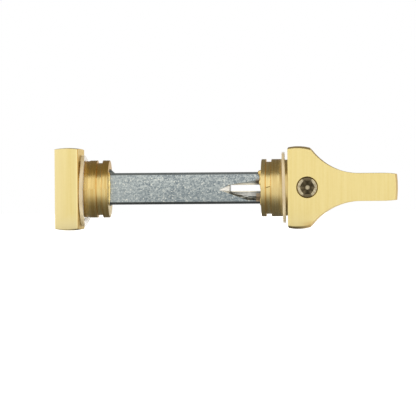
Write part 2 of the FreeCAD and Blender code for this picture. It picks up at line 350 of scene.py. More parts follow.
turnedBrass = {
    "light": srgb(238, 214, 148),
    "dark": srgb(214, 179, 104),
    "topShade": srgb(216, 170, 78),      # painted shade towards the top
    "pale": srgb(232, 216, 160),     # the turn's neck is a little paler
    "mark": srgb(120, 92, 40),
    "cut": srgb(244, 222, 152),      # the circlip grooves were cut last
    "gold": srgb(234, 186, 100),     # a deeper line on each edge of a groove
    "lip": srgb(178, 142, 74),       # the burr round the turn's bore is duller, and carries painted shade
    # painted shade and painted highlight in streaks along the tool's rings
    "paintedStreak": srgb(176, 138, 66),
    "paintedBrightStreak": srgb(250, 232, 172),
    "tone": (0.3, 0.7),
    "fineShare": 0.45,
    "turnPale": 0.4,
    "topShadeMm": (2.6, 4.2),
    "topShadeShare": (0.75, 0.3),
    "lipMm": (19.45, 19.3),
    "lipNoise": (0.42, 0.6, 0.15, 0.85),
    "lipNoiseScale": 1.6,
    "grooveMm": (6.7, 6.9, 0.5),
    "grooveEdgesMm": (20.65, 22.05),
    "goldMm": (0.1, 0.22, 0.45),
    "linesPerMm": 8.0,
    "lineLength": 14.0,
    "lineSeed": 0.3,
    "lineDepthMm": 0.004,
    "lineBump": 0.7,
    "aroundMm": 4.0,                 # how long a radian counts along a line
    "roughness": 0.24,
    "lineRoughness": 0.14,
    "passesPerMm": 2.0,              # coarser rings, where the tool went round again
    "passLength": 6.0,
    "passRoughness": (0.3, 0.7, 0.06, -0.06),
    "passPaintedShade": (0.5, 0.3, 0.0, 0.45),
    "passPaintedHighlight": (0.5, 0.7, 0.0, 0.45),
    "streakFadeMm": (-22.0, -21.0, 0.12, 1.0),   # the painted streaks are faint beside the release's washer
    "streakFadeUpMm": (0.8, 2.6, 0.4, 1.0),
    "markMm": (21.35, 0.15),         # a tool mark in the turn's groove: along X, and up
    "markRise": 0.25,
    "markLongMm": (0.4, 0.6),
    "markWideMm": (0.05, 0.16),
    "markFrontMm": (-3.0, -2.0),
}


def makeTurnedBrass():
    look = turnedBrass
    material, tree, shader = newMaterial("turnedBrass")
    place, x, y, z = placeInMm(tree)
    radius = hypot(tree, y, z)
    rings = {"Across": maths(tree, "ADD", x, radius), "Depth": look["lineSeed"],
             "Along": times(tree, maths(tree, "ARCTAN2", z, y), look["aroundMm"])}
    lines = useGroup(tree, fineLines, Density=look["linesPerMm"], Length=look["lineLength"], **rings)
    passes = useGroup(tree, fineLines, Density=look["passesPerMm"], Length=look["passLength"], **rings)
    tone = weigh(tree, lines["Shade"], lines["Height"], look["fineShare"])
    colour = mixColour(tree, ramp(tree, tone, *look["tone"]), look["dark"], look["light"])
    colour = mixColour(tree, bySide(tree, x, 0.0, look["turnPale"]), colour, look["pale"])
    colour = mixColour(tree, near(tree, radius, *look["grooveMm"]), colour, look["cut"])
    # painted shade towards the top, stronger on the release's neck
    topShade = times(tree, ramp(tree, z, *look["topShadeMm"]), bySide(tree, x, *look["topShadeShare"]))
    colour = mixColour(tree, topShade, colour, look["topShade"])
    # streaks of painted shade and painted highlight along the coarser rings, faint beside the release's
    # washer and round the middle height
    paintedStreakZone = times(tree, ramp(tree, x, *look["streakFadeMm"]), ramp(tree, away(tree, z), *look["streakFadeUpMm"]))
    for share, paint in (("passPaintedShade", "paintedStreak"), ("passPaintedHighlight", "paintedBrightStreak")):
        paintedStreak = times(tree, ramp(tree, passes["Height"], *look[share]), paintedStreakZone)
        colour = mixColour(tree, paintedStreak, colour, look[paint])
    first, second = (away(tree, away(tree, x), edge) for edge in look["grooveEdgesMm"])
    toGroove = maths(tree, "MINIMUM", first, second)
    colour = mixColour(tree, near(tree, toGroove, *look["goldMm"]), colour, look["gold"])
    # the burr round the turn's bore: duller, with painted shade broken up by noise
    noise = put(tree, "TexNoise", None, Vector=place, Scale=look["lipNoiseScale"], Detail=2.0).outputs["Fac"]
    lip = times(tree, bySide(tree, x, 0.0, 1.0), ramp(tree, x, *look["lipMm"]))
    lip = times(tree, lip, ramp(tree, noise, *look["lipNoise"]))
    colour = mixColour(tree, lip, colour, look["lip"])
    markX, markZ = look["markMm"]
    alongMark = maths(tree, "SUBTRACT", x, markX)
    slope = maths(tree, "MULTIPLY_ADD", alongMark, look["markRise"], markZ)
    mark = times(tree, near(tree, away(tree, alongMark), *look["markLongMm"]),
                 near(tree, away(tree, z, slope), *look["markWideMm"]),
                 near(tree, y, *look["markFrontMm"]))
    colour = mixColour(tree, mark, colour, look["mark"])
    connect(tree, colour, shader.inputs["Base Color"])
    shader.inputs["Metallic"].default_value = 1.0
    rough = maths(tree, "MULTIPLY_ADD", lines["Height"], look["lineRoughness"], look["roughness"])
    rough = maths(tree, "ADD", rough, ramp(tree, passes["Height"], *look["passRoughness"]))
    connect(tree, rough, shader.inputs["Roughness"])
    bumped = bump(tree, lines["Height"], look["lineBump"], look["lineDepthMm"])
    connect(tree, bumped, shader.inputs["Normal"])
    return material


# zinc-plated steel of the spindle

zincSteel = {
    "light": srgb(210, 217, 213),
    "dark": srgb(122, 133, 139),
    "speck": srgb(232, 232, 220),
    "darkBelow": srgb(112, 123, 127),
    "even": srgb(184, 192, 190),     # less spangle towards the release
    # the rounded corners: painted light on the upper ones, painted shade on the lower ones
    "edge": srgb(192, 204, 208),
    "edgePaintedShade": srgb(128, 132, 132),
    "wing": srgb(74, 86, 94),
    "tone": (0.3, 0.7),
    "grainMm": 0.3,
    "grainShare": 0.6,
    "streaksPerMm": 2.2,
    "streakLengthMm": 2.6,
    "cloudMm": 9.0,
    "cloudShare": 0.16,
    "evenMm": (-19.0, -8.0, 0.45),
    "darkBelowMm": (3.0, -3.4, 0.0, 0.38),
    "darkBelowAlongMm": (-20.0, 0.0, 0.35, 1.0),
    "cornerMm": (7.3, 7.42, 0.0, 0.8),
    "edgeUpMm": (-1.0, 1.0),
    "wingMm": (4.03, 4.15, 0.0, 0.85),
    "roughness": 0.24,
    "toneRoughness": 0.2,
    "streakHeight": 0.5,
    "bumpMm": 0.014,
    "bump": 0.4,
    "mattMetal": -0.65,
}

# the scoop that is milled into the spindle's photographed side, with painted light and shade on its flanks,
# and the stains beside the neck
milledSteel = {
    "light": srgb(252, 251, 246),
    "dark": srgb(128, 130, 127),
    "shade": srgb(104, 107, 106),
    # painted light on the upper flank
    "upper": srgb(216, 220, 218),
    # bare metal beside the saw cut, and a painted highlight just above it
    "bareAndHighlight": srgb(250, 244, 226),
    "scratch": srgb(222, 225, 222),
    "stain": srgb(166, 144, 114),    # on the lower flank, where the bar goes into the neck
    "brown": srgb(140, 116, 82),
    "fromMm": (8.2, 8.5),
    "wallMm": (-3.97, -3.9),
    "floorMm": (-1.6, -1.2),
    "sideMm": (3.15, 3.4),
    "scratchesPerMm": 4.5,
    "scratchLengthMm": 5.0,
    "upperMm": (0.3, 0.9),
    "tone": (0.38, 0.62, 0.0, 0.7),
    "toneUpMm": (-1.2, 0.5, 0.0, 0.3),
    "shadeMm": (-1.0, -2.3, 0.0, 0.85),
    "shadeNoise": (0.3, 0.55),
    "tipMm": (11.2, 11.6, 0.85),     # painted highlight: the scoop's pointed end is bright
    "hiddenMm": (19.5, 20.3),        # from here on the neck hides the bar, so the stains and the painted shade stop
    "gapMm": (16.9, 18.6, 0.0, 0.6),
    "splitMm": (-0.05, 0.8),         # middle and half width of the saw cut
    "besideMm": (0.08, 0.2),
    "bareAlongMm": (11.8, 12.2),
    "highlightAboveSplitMm": (1.0, 1.35, 0.8),
    "bareEndMm": (17.2, 18.6, 1.0, 0.3),
    "lineMm": (15.2, -2.2515),       # one long scratch: along X, and up
    "lineRise": 0.21,
    "lineLongMm": (0.8, 1.2),
    "lineWideMm": (0.06, 0.16),
    "fleckNoise": (0.5, 0.6),
    "fleckMm": (-1.4, -1.8, 0.0, 0.55),
    "frontMm": (-1.6, -2.2),
    "stainAlongMm": (18.0, 18.35),
    "stainMm": -2.4,
    "stainUpMm": (0.9, 1.15, 0.85),
    "brownAlongMm": (17.8, 18.5),
    "brownMm": 1.7,
    "brownUpMm": (0.4, 0.8, 0.6),
    "roughness": 0.14,
    "upperRoughness": 0.5,
}


def paintSpindle(tree, place, x, y, z):
    # the plated faces; returns their colour, the noise behind it and the height for the bump
    look = zincSteel
    grains = useGroup(tree, grain, Place=place, Size=look["grainMm"])
    streaks = useGroup(tree, fineLines, Across=maths(tree, "ADD", z, y), Along=x, Depth=0.0,
                       Density=look["streaksPerMm"], Length=look["streakLengthMm"])
    cloud = useGroup(tree, handling, Place=place, Size=look["cloudMm"])["Mask"]
    tone = weigh(tree, streaks["Height"], grains["Shade"], look["grainShare"])
    colour = mixColour(tree, ramp(tree, tone, *look["tone"]), look["dark"], look["light"])
    colour = mixColour(tree, times(tree, cloud, look["cloudShare"]), colour, look["dark"])
    colour = mixColour(tree, near(tree, x, *look["evenMm"]), colour, look["even"])
    # darker towards the bottom, most towards the turn
    darkBelow = times(tree, ramp(tree, z, *look["darkBelowMm"]), ramp(tree, x, *look["darkBelowAlongMm"]))
    colour = mixColour(tree, darkBelow, colour, look["darkBelow"])
    colour = mixColour(tree, grains["Specks"], colour, look["speck"])
    # the rounded corners: painted light on the upper ones, painted shade on the lower ones
    corner = ramp(tree, maths(tree, "ADD", away(tree, z), away(tree, y)), *look["cornerMm"])
    edge = mixColour(tree, ramp(tree, z, *look["edgeUpMm"]), look["edgePaintedShade"], look["edge"])
    colour = mixColour(tree, corner, colour, edge)
    colour = mixColour(tree, ramp(tree, away(tree, z), *look["wingMm"]), colour, look["wing"])
    height = maths(tree, "MULTIPLY_ADD", streaks["Height"], look["streakHeight"], grains["Height"])
    return colour, tone, height


def paintScoop(tree, x, y, z):
    # the milled scoop; returns its mask, its colour, where it is matt, and its upper flank
    look = milledSteel
    scoop = times(tree, ramp(tree, y, *look["wallMm"]), near(tree, y, *look["floorMm"]),
                  near(tree, away(tree, z), *look["sideMm"]), ramp(tree, x, *look["fromMm"]))
    scratches = useGroup(tree, fineLines, Across=z, Along=x, Depth=y,
                         Density=look["scratchesPerMm"], Length=look["scratchLengthMm"])
    upper = ramp(tree, z, *look["upperMm"])
    tone = ramp(tree, scratches["Height"], *look["tone"])
    # painted light: the scoop is lighter upwards
    tone = maths(tree, "ADD", tone, ramp(tree, z, *look["toneUpMm"]))
    colour = mixColour(tree, tone, look["dark"], look["light"])
    shade = times(tree, ramp(tree, z, *look["shadeMm"]), ramp(tree, scratches["Shade"], *look["shadeNoise"]))
    colour = mixColour(tree, shade, colour, look["shade"])
    # painted light on the upper flank
    colour = mixColour(tree, upper, colour, look["upper"])
    # painted highlight on the scoop's pointed end
    colour = mixColour(tree, near(tree, x, *look["tipMm"]), colour, look["light"])
    # painted shade where the bar goes into the neck
    inGap = times(tree, ramp(tree, x, *look["gapMm"]), near(tree, x, *look["hiddenMm"]))
    colour = mixColour(tree, inGap, colour, look["shade"])
    # bare metal beside the split is bright and matt, and so are the scratches on the lower flank; the
    # brightness just above the split is a painted highlight
    middle, half = look["splitMm"]
    beside = maths(tree, "SUBTRACT", away(tree, z, middle), half)
    bareAndHighlight = times(tree, near(tree, beside, *look["besideMm"]), ramp(tree, x, *look["bareAlongMm"]))
    bareAndHighlight = maths(tree, "MAXIMUM", bareAndHighlight, times(tree, upper, near(tree, z, *look["highlightAboveSplitMm"])))
    bareAndHighlight = times(tree, bareAndHighlight, ramp(tree, x, *look["bareEndMm"]))
    colour = mixColour(tree, bareAndHighlight, colour, look["bareAndHighlight"])
    lineX, lineZ = look["lineMm"]
    alongLine = maths(tree, "SUBTRACT", x, lineX)
    slope = maths(tree, "MULTIPLY_ADD", alongLine, look["lineRise"], lineZ)
    line = times(tree, near(tree, away(tree, z, slope), *look["lineWideMm"]),
                 near(tree, away(tree, alongLine), *look["lineLongMm"]))
    fleck = times(tree, ramp(tree, scratches["Height"], *look["fleckNoise"]), ramp(tree, z, *look["fleckMm"]))
    scratch = maths(tree, "MAXIMUM", line, fleck)
    colour = mixColour(tree, scratch, colour, look["scratch"])
    return scoop, colour, maths(tree, "MAXIMUM", bareAndHighlight, scratch), upper


def makeZincSteel():
    look = zincSteel
    material, tree, shader = newMaterial("zincSteel")
    place, x, y, z = placeInMm(tree)
    plated, tone, height = paintSpindle(tree, place, x, y, z)
    scoop, milled, matt, upper = paintScoop(tree, x, y, z)
    colour = mixColour(tree, scoop, plated, milled)
    cut = milledSteel
    front = times(tree, ramp(tree, y, *cut["frontMm"]), near(tree, x, *cut["hiddenMm"]))
    stain = times(tree, ramp(tree, x, *cut["stainAlongMm"]), front,
                  near(tree, away(tree, z, cut["stainMm"]), *cut["stainUpMm"]))
    colour = mixColour(tree, stain, colour, cut["stain"])
    brown = times(tree, ramp(tree, x, *cut["brownAlongMm"]), front,
                  near(tree, away(tree, z, cut["brownMm"]), *cut["brownUpMm"]))
    colour = mixColour(tree, brown, colour, cut["brown"])
    connect(tree, colour, shader.inputs["Base Color"])
    matt = maths(tree, "MAXIMUM", times(tree, scoop, matt), stain)
    connect(tree, maths(tree, "MULTIPLY_ADD", matt, look["mattMetal"], 1.0), shader.inputs["Metallic"])
    rough = maths(tree, "MULTIPLY_ADD", tone, look["toneRoughness"], look["roughness"])
    scoopRough = maths(tree, "MULTIPLY_ADD", upper, cut["upperRoughness"], cut["roughness"])
    connect(tree, maths(tree, "MULTIPLY_ADD", scoop, scoopRough, rough), shader.inputs["Roughness"])
    connect(tree, bump(tree, height, look["bump"], look["bumpMm"]), shader.inputs["Normal"])
    return material


# oiled steel of the set screw, with painted shade in its socket and on the top and bottom of its rim

screwSteel = {
    "light": srgb(206, 194, 162),
    "dark": srgb(168, 156, 128),
    # painted shade in the hexagon socket and on the rim above and below it
    "socket": srgb(108, 97, 74),
    "tone": (0.25, 0.75),
    "grainMm": 0.35,
    "axisMm": 31.25,
    "socketMm": (2.45, 2.65),        # the painted shade's reach round the screw's axis
    "keyMm": (1.65, 1.85),
    "spotMm": (0.45, 0.65),
    "slant": (0.8, 0.92),            # above and below the key the painted shade covers the rim too
    "roughness": 0.11,
    "grainRoughness": 0.14,
    "keyRoughness": 0.25,
    "bumpMm": 0.003,
    "bump": 0.15,
}


def makeScrewSteel():
    look = screwSteel
    material, tree, shader = newMaterial("screwSteel")
    place, x, y, z = placeInMm(tree)
    grains = useGroup(tree, grain, Place=place, Size=look["grainMm"])
    colour = mixColour(tree, ramp(tree, grains["Shade"], *look["tone"]), look["dark"], look["light"])
    radius = hypot(tree, maths(tree, "SUBTRACT", x, look["axisMm"]), z)
    # painted shade: dark in the socket, outside the spot at its bottom, and on the rim above and below the
    # key
    slant = ramp(tree, maths(tree, "DIVIDE", away(tree, z), radius), *look["slant"])
    inKey = near(tree, radius, *look["keyMm"])
    outOfSpot = ramp(tree, radius, *look["spotMm"])
    socketShade = times(tree, near(tree, radius, *look["socketMm"]), maths(tree, "MAXIMUM", slant, inKey), outOfSpot)
    colour = mixColour(tree, socketShade, colour, look["socket"])
    connect(tree, colour, shader.inputs["Base Color"])
    shader.inputs["Metallic"].default_value = 1.0
    rough = maths(tree, "MULTIPLY_ADD", grains["Shade"], look["grainRoughness"], look["roughness"])
    rough = maths(tree, "MULTIPLY_ADD", inKey, look["keyRoughness"], rough)
    connect(tree, rough, shader.inputs["Roughness"])
    connect(tree, bump(tree, grains["Height"], look["bump"], look["bumpMm"]), shader.inputs["Normal"])
    return material


# washers of natural nylon

naturalNylon = {
    "face": srgb(250, 250, 247),
    "rim": srgb(203, 186, 150),      # the near side of the rim, where the light goes deepest: painted golden light from the brass behind it
    # painted light: the rim is paler lower down, where less light reaches it
    "rimLitBelow": srgb(252, 238, 202),
    "cloud": srgb(232, 218, 190),
    "faceOpacity": 0.75,
    "grazingOpacity": 0.62,          # a glancing look goes through the thin edge
    "glancing": (0.6, 0.85),
    "dropMm": 0.4,                   # the release's washer hangs lower
    "rimMm": (8.5, 8.9),
    "belowMm": (-3.5, -6.5),
    "nearMm": (-0.5, -2.5),
    "grainMm": 0.9,
    "cloudMm": 5.0,
    "toneShare": 0.2,
    "faceTone": 0.4,
    "ior": 1.53,
    "specular": 0.15,
    "roughness": 0.3,
    "cloudRoughness": 0.12,
    "bumpMm": 0.01,
    "bump": 0.2,
}


def makeNaturalNylon():
    look = naturalNylon
    material, tree, shader = newMaterial("naturalNylon")
    place, x, y, z = placeInMm(tree)
    grains = useGroup(tree, grain, Place=place, Size=look["grainMm"])
    cloud = useGroup(tree, handling, Place=place, Size=look["cloudMm"])["Mask"]
    radius = hypot(tree, y, maths(tree, "ADD", z, bySide(tree, x, look["dropMm"], 0.0)))
    onRim = ramp(tree, radius, *look["rimMm"])
    # the near side of the rim takes painted golden light, paler towards the bottom as painted light
    rim = mixColour(tree, ramp(tree, z, *look["belowMm"]), look["rim"], look["rimLitBelow"])
    nearRim = times(tree, onRim, ramp(tree, y, *look["nearMm"]))
    colour = mixColour(tree, nearRim, look["face"], rim)
    tone = times(tree, maths(tree, "ADD", cloud, grains["Shade"]), look["toneShare"])
    tone = times(tree, tone, ramp(tree, nearRim, 0.0, 1.0, look["faceTone"], 1.0))
    connect(tree, mixColour(tree, tone, colour, look["cloud"]), shader.inputs["Base Color"])
    rough = maths(tree, "MULTIPLY_ADD", cloud, look["cloudRoughness"], look["roughness"])
    connect(tree, rough, shader.inputs["Roughness"])
    straight = ramp(tree, onRim, 0.0, 1.0, look["faceOpacity"], 1.0)
    facing = put(tree, "LayerWeight", None, Blend=0.5).outputs["Facing"]
    thinner = maths(tree, "SUBTRACT", look["grazingOpacity"], straight)
    milky = maths(tree, "MULTIPLY_ADD", ramp(tree, facing, *look["glancing"]), thinner, straight)
    outward = maths(tree, "SUBTRACT", 1.0, put(tree, "NewGeometry").outputs["Backfacing"])
    connect(tree, times(tree, milky, outward), shader.inputs["Alpha"])
    shader.inputs["IOR"].default_value = look["ior"]
    shader.inputs["Specular IOR Level"].default_value = look["specular"]
    connect(tree, bump(tree, grains["Height"], look["bump"], look["bumpMm"]), shader.inputs["Normal"])
    return material


def dress(node, material):
    mesh = nodes[node].data
    mesh.materials.clear()
    mesh.materials.append(material)


brushed = makeBrushedBrass()
turned = makeTurnedBrass()
zinc = makeZincSteel()
steel = makeScrewSteel()
nylon = makeNaturalNylon()
for name in ("turn_head", "release_head"):
    dress(name, brushed)
dress("spindle", zinc)
print("materials made; heads and spindle dressed")


# surfaces worked out as whole arrays

def skinRings(name, rings, material, closedAlong=False, poles=None, sharpDegrees=30):
    # rings has the shape (rings, points round, 3), in millimetres. Quads join each ring to the next
    # and close it on itself. The last ring joins the first, or a pole at each end closes it with a fan.
    count, around = rings.shape[:2]
    index = np.arange(count * around).reshape(count, around)
    here = index if closedAlong else index[:-1]
    beyond = np.roll(index, -1, axis=0)[:len(here)]
    quads = np.stack([here, np.roll(here, -1, axis=1), np.roll(beyond, -1, axis=1), beyond], axis=-1)
    quads = quads.reshape(-1, 4)
    points = rings.reshape(-1, 3)
    fans = np.zeros((0, 3), dtype=int)
    if poles is not None:
        points = np.vstack([points, poles])
        first = np.stack([np.roll(index[0], -1), index[0], np.full(around, count * around)], axis=-1)
        last = np.stack([index[-1], np.roll(index[-1], -1), np.full(around, count * around + 1)], axis=-1)
        fans = np.vstack([first, last])
    # a shell whose signed volume is negative has its faces the wrong way round
    triangles = np.vstack([quads[:, [0, 1, 2]], quads[:, [0, 2, 3]], fans])
    corners = points[triangles]
    volume = np.einsum("ij,ij->i", corners[:, 0], np.cross(corners[:, 1], corners[:, 2])).sum() / 6
    step = 1 if volume > 0 else -1
    mesh = bpy.data.meshes.new(name)
    mesh.from_pydata((points * mm).tolist(), [], quads[:, ::step].tolist() + fans[:, ::step].tolist())
    mesh.shade_smooth()
    mesh.set_sharp_from_angle(angle=math.radians(sharpDegrees))
    mesh.materials.append(material)
    piece = bpy.data.objects.new(name, mesh)
    scene.collection.objects.link(piece)
    return piece


def roundTurn(count):
    return np.linspace(0, 2 * np.pi, count, endpoint=False)


def softSquare(angle, half, power=24):
    # distance from the centre to the edge of a square with rounded corners: a superellipse
    return half / (np.abs(np.cos(angle)) ** power + np.abs(np.sin(angle)) ** power) ** (1 / power)


def bell(value, middle, width):
    # 1 round the middle, falling away steeply past the width
    return np.exp(-((value - middle) / width) ** 4)


# the necks: a turned bush with a circlip groove and a square bore

neckShape = {
    "radius": 7.25,
    "reliefRadius": 7.09,
    "grooveRadius": 6.6,
    "grooveStart": 4.3,
    "grooveWidth": 1.4,
    "wallSlope": 0.1,
    "burr": 0.02,                # raised by the tool at each edge of the groove
    "edgeRound": 0.05,
    "edgeRun": 0.2,              # over which the burr rises from the plain neck
    "step": 0.02,
    "foot": 0.04,                # the small round at the bottom of each groove wall
    "reliefRun": 0.45,
    "rimRound": 0.1,
    "rimPoints": 6,
    "spigotRadius": 6.2,
    "spigotLength": 1.9,
    "spigotBreak": 0.1,
    "boreBreak": 0.1,
    "boreRise": 0.8,             # share of the lip's height at the bore itself
    "lipSteps": ((0.12, 0.0), (0.03, 0.25), (-0.05, 0.85), (-0.16, 1.0)),
    "pointsAround": 320,
}

turnNeck = {"node": "turn_neck", "body": "turn", "face": 26.35, "towards": -1, "length": 6.85,
            "boreHalf": 4.05, "lipWall": 0.4, "lipHeight": 0.24, "nearLip": 0.0, "reliefWidth": 1.2}
releaseNeck = {"node": "release_neck", "body": "release_side", "face": -26.35, "towards": 1, "length": 7.35,
               "boreHalf": 4.0, "lipWall": 0.3, "lipHeight": 0.03, "nearLip": 0.36, "reliefWidth": 2.1}


# waves as (height, waves a turn, phase) and burrs as (height, place, width): the heights are shares
# of the lip's height, the rest is in radians
lipWaves = ((0.35, 3, 1.0), (0.22, 8, 2.1), (0.12, 19, 0.0))
lipBurrs = ((1.1, 2.4, 0.11), (0.7, 2.66, 0.3), (1.0, 2.88, 0.1))
nearLip = {"base": 0.85, "middle": 0.25, "middleWidth": 0.35, "wave": 0.07, "waves": 17,
           "halfTurn": 0.75, "steepness": 12}


def lipRise(angle, height):
    # the lip round the bore: height (1 + the sum of the waves + the sum of the burrs)
    waves = sum(share * np.sin(count * angle + phase) for share, count, phase in lipWaves)
    burrs = sum(share * bell(angle, place, width) for share, place, width in lipBurrs)
    return height * (1 + waves + burrs)


def nearLipRise(angle, height):
    # a lip on the photographed side of the bore only, where turn is the angle from -Y:
    # height (base + middle bell(turn) + wave sin(waves turn)) / (1 + (turn / halfTurn)^steepness)
    look = nearLip
    turn = angle % (2 * np.pi) - np.pi
    share = look["base"] + look["middle"] * bell(turn, 0.0, look["middleWidth"])
    share = share + look["wave"] * np.sin(look["waves"] * turn)
    return height * share / (1 + (turn / look["halfTurn"]) ** look["steepness"])


def makeNeck(name, look):
    # The half section is a list of points (distance from the head, radius, squareness, share of the
    # lip). Each is carried round the axis: x = face + towards (distance + share lip(angle)), and
    # radius = (1 - squareness) radius + squareness softSquare(angle, radius).
    shape = neckShape
    outer, relief, groove = shape["radius"], shape["reliefRadius"], shape["grooveRadius"]
    start, end = shape["grooveStart"], shape["grooveStart"] + shape["grooveWidth"]
    soft, burr, slope, rim = shape["edgeRound"], shape["burr"], shape["wallSlope"], shape["rimRound"]
    run, step, foot = shape["edgeRun"], shape["step"], shape["foot"]
    spigot, back, edge = shape["spigotRadius"], -shape["spigotLength"], shape["spigotBreak"]
    length, bore, reliefEnd = look["length"], look["boreHalf"], look["reliefWidth"]
    lip = bore + look["lipWall"]
    plain = [(back, spigot - edge), (back + edge, spigot), (0, spigot), (0, relief), (reliefEnd, relief),
             (reliefEnd + shape["reliefRun"], outer), (start - run, outer), (start - soft, outer + burr),
             (start, outer + burr), (start + step, outer - soft), (start + slope, groove + foot),
             (start + slope + foot, groove), (end - slope - foot, groove), (end - slope, groove + foot),
             (end - step, outer - soft), (end, outer + burr), (end + soft, outer + burr), (end + run, outer)]
    plain += [(length - rim + rim * math.sin(turn), outer - rim + rim * math.cos(turn))
              for turn in np.linspace(0, np.pi / 2, shape["rimPoints"])]
    section = [(distance, radius, 0, 0) for distance, radius in plain]
    section += [(length, lip + beyond, 1, share) for beyond, share in shape["lipSteps"]]
    section += [(length, bore + shape["boreBreak"], 1, 1), (length, bore, 1, shape["boreRise"]),
                (length - shape["boreBreak"], bore, 1, 0), (back, bore, 1, 0)]
    along, radius, square, lipShare = (np.array(column, dtype=float)[:, None] for column in zip(*section))
    angle = roundTurn(shape["pointsAround"])[None, :]
    reach = (1 - square) * radius + square * softSquare(angle, radius)
    rise = lipRise(angle, look["lipHeight"]) + nearLipRise(angle, look["nearLip"])
    out = along + lipShare * rise
    x = look["face"] + look["towards"] * out
    rings = np.stack([x, reach * np.cos(angle), reach * np.sin(angle)], axis=-1)
    piece = skinRings(name, rings, turned, closedAlong=True)
    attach(piece, look["body"])
    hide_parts(look["node"])


makeNeck("turnNeck", turnNeck)
makeNeck("releaseNeck", releaseNeck)
print("necks turned")


# the washers: thin nylon rings, rounded at their edges and a little out of flat

# each bend is a factor with its powers of y and z, as (factor, a, b)
turnWasher = {
    "node": "turn_washer",
    "body": "turn_washer",
    "bore": 7.65,
    "thickness": 0.8,
    "place": 25.07,
    "drop": 0.0,
    "bends": ((-0.0367, 1, 0), (-0.0175, 0, 1)),
}
releaseWasher = {
    "node": "release_washer",
    "body": "release_washer",
    "bore": 7.7,
    "thickness": 0.92,
    "place": -25.68,
    "drop": -0.4,
    "bends": ((-0.007, 1, 0), (-0.0014, 0, 1), (0.0113, 2, 0), (-0.0025, 1, 1), (0.00137, 3, 0),
              (-0.0011, 0, 2), (0.00022, 1, 2)),
}
washerSection = {"outer": 9.08, "squareness": 6.0, "pointsAround": 280, "pointsRound": 40}


def makeWasher(name, look):
    # A rounded rectangle (a superellipse) is carried round the axis. Its middle plane is
    # x = place + the sum of factor y^a z^b over the bends.
    size = washerSection
    middle, half = (size["outer"] + look["bore"]) / 2, (size["outer"] - look["bore"]) / 2
    turn = roundTurn(size["pointsRound"])[:, None]
    angle = roundTurn(size["pointsAround"])[None, :]
    sharpness = 2 / size["squareness"]
    radius = middle + half * np.sign(np.cos(turn)) * np.abs(np.cos(turn)) ** sharpness
    thick = look["thickness"] / 2 * np.sign(np.sin(turn)) * np.abs(np.sin(turn)) ** sharpness
    y, z = radius * np.cos(angle), radius * np.sin(angle)
    x = look["place"] + sum(factor * y ** a * z ** b for factor, a, b in look["bends"])
    rings = np.stack([x + thick, y, z + look["drop"]], axis=-1)
    piece = skinRings(name, rings, nylon, closedAlong=True, sharpDegrees=80)
    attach(piece, look["body"])
    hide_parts(look["node"])


makeWasher("turnWasher", turnWasher)
makeWasher("releaseWasher", releaseWasher)
print("washers made")


# the set screw: hexagon socket, thread and cone point

setScrew = {
    "x": 31.25,                  # the screw's axis runs along Y, in from the photographed side
    "top": -7.6,
    "tip": -3.42,
    "crest": 2.67,
    "root": 2.35,
    "pitch": 1.0,
    "chamfer": 0.28,
    "keyHalf": 1.58,
    "keyDepth": 1.5,
    "spotRadius": 0.6,
    "spotDepth": 2.0,
    "spotPoint": 0.25,
    "countersink": 0.12,
    "sinkHexagon": 0.9,          # the countersink follows the hexagon nearly all the way
    "tipRadius": 0.6,
    "tipPoint": 0.36,
    "round": 0.02,               # half the width of each small rounding
    "ridgeTop": 1.35,            # the thread's ridge: 1.35 - 4 |phase - 0.5|, cut off at 0 and 1
    "ridgeSlope": 4,
    "runOut": 0.25,
    "threadRings": 34,
    "coneRings": 8,
    "coneFrom": 0.06,
    "pointsAround": 180,
}


def hexagonReach(angle, half):
    # distance from the centre to a hexagon's side, with a corner on the X axis
    sixth = np.pi / 3
    return half / np.cos((angle % sixth) - sixth / 2)


